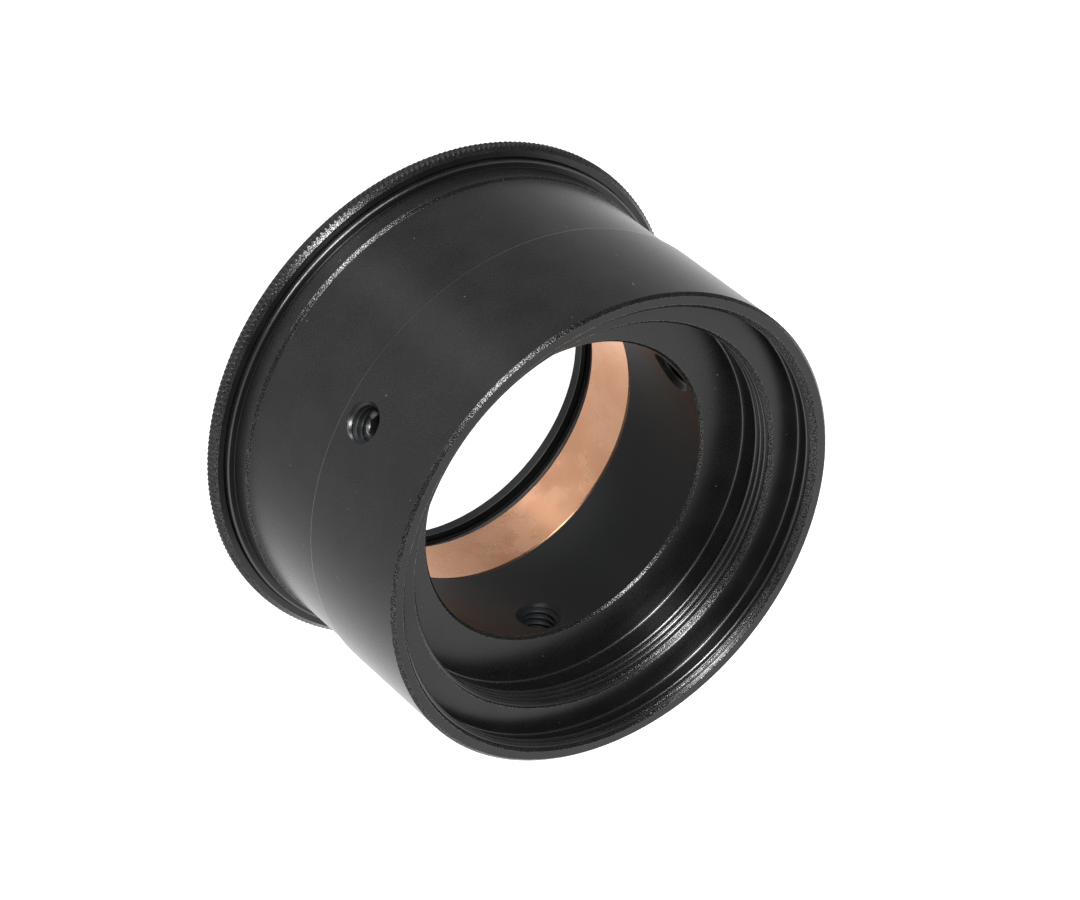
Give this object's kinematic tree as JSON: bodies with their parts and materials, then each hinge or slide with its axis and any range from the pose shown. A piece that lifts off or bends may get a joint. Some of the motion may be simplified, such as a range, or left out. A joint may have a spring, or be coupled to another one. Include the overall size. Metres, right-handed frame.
{
  "type": "telescope eyepiece adapter",
  "caption": "Short black barrel that carries a smaller telescope eyepiece, with a knurled twist-lock rim, a split copper compression ring, radial set screws and stepped front threads.",
  "frame": {"origin": "centre of the rear face, the end that the eyepiece enters", "axes": "+Z along the optical axis towards the telescope, ending at the threaded front rim; the first set screw points along -Y"},
  "size_m": [0.0548, 0.0548, 0.0307],
  "materials": {
    "barrel_anodised": "black anodised, satin",
    "ring_anodised": "black anodised, satin, straight knurled rim",
    "copper_alloy": "turned copper-coloured phosphor bronze, satin",
    "washer_plastic": "black acetal, matt",
    "pin_steel": "ground steel dowel",
    "screw_steel": "black oxide steel"
  },
  "bodies": {
    "barrel_body": {"barrel": "barrel_anodised", "compression_ring": "copper_alloy", "stop_pin": "pin_steel", "key_pin": "pin_steel"},
    "clamp_body": {"clamp_ring": "ring_anodised", "slip_washer": "washer_plastic"},
    "screw_1_body": {"set_screw_1": "screw_steel"},
    "screw_2_body": {"set_screw_2": "screw_steel"},
    "screw_3_body": {"set_screw_3": "screw_steel"}
  },
  "joints": [
    {"name": "clamp_twist", "type": "hinge", "parent": "barrel_body", "child": "clamp_body", "pos_m": [0, 0, 0], "axis": [0, 0, 1], "range_deg": [0, 60]},
    {"name": "screw_1_travel", "type": "slide", "parent": "barrel_body", "child": "screw_1_body", "axis": [0, 1, 0], "range_m": [-0.0014, 0.0028]},
    {"name": "screw_2_travel", "type": "slide", "parent": "barrel_body", "child": "screw_2_body", "axis": [-0.866, -0.5, 0], "range_m": [-0.0014, 0.0028]},
    {"name": "screw_3_travel", "type": "slide", "parent": "barrel_body", "child": "screw_3_body", "axis": [0.866, -0.5, 0], "range_m": [-0.0014, 0.0028]}
  ]
}
